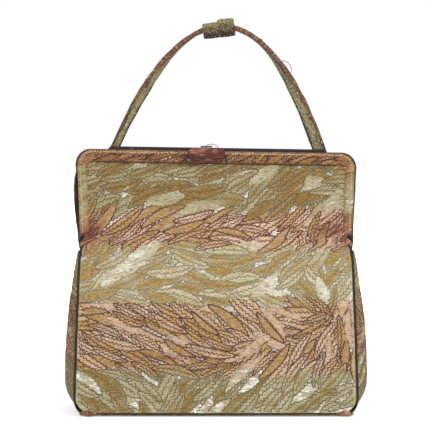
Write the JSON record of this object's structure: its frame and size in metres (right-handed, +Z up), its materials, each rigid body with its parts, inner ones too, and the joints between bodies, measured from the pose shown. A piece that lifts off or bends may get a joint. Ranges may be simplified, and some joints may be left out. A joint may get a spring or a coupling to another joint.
{
  "type": "handbag",
  "caption": "Brocade handbag with an A-line pouch, bulging gussets, a cloth-covered hinged frame, a lift clasp and an arched strap handle with keeper bands.",
  "frame": {"origin": "middle of the base, on the surface that the bag stands on", "axes": "+Z up through the handle, +X to the right seen from the front, front faces -Y"},
  "size_m": [0.256, 0.0776, 0.3301],
  "materials": {
    "frame_metal": "dark lacquer, worn",
    "steel": "plain",
    "cover_brocade": "woven, reddish",
    "brocade": "woven leaf pattern with a silk sheen",
    "piping_cord": "dark green cord",
    "lining_cloth": "satin",
    "board": "pressed board"
  },
  "bodies": {
    "bag": {"frame_back": "frame_metal", "closing_lip": "frame_metal", "handle_ferrule_left": "frame_metal", "handle_ferrule_right": "frame_metal", "hinge_rivet_left": "steel", "hinge_rivet_right": "steel", "frame_cover_back": "cover_brocade", "front_panel_lower": "brocade", "back_panel": "brocade", "gusset_left": "brocade", "gusset_right": "brocade", "base_panel": "brocade", "handle_strap": "brocade", "keeper_left": "brocade", "keeper_right": "brocade", "piping_front": "piping_cord", "piping_back": "piping_cord", "lining_pouch": "lining_cloth", "lining_back": "lining_cloth", "base_board": "board"},
    "front_frame": {"frame_front": "frame_metal", "frame_cover_front": "cover_brocade", "clasp_ears": "frame_metal", "clasp_pin": "steel", "front_panel_upper": "brocade", "lining_front": "lining_cloth"},
    "clasp": {"clasp_tab": "cover_brocade", "clasp_finger": "frame_metal"}
  },
  "joints": [
    {"name": "frame_open", "type": "hinge", "parent": "bag", "child": "front_frame", "pos_m": [0, 0, 0.148], "axis": [1, 0, 0], "range_deg": [0, 50], "deforming": ["front_panel_lower", "gusset_left", "gusset_right", "lining_pouch"]},
    {"name": "clasp_flip", "type": "hinge", "parent": "front_frame", "child": "clasp", "pos_m": [-0.008, -0.0138, 0.21292], "axis": [1, 0, 0], "range_deg": [0, 70]}
  ]
}
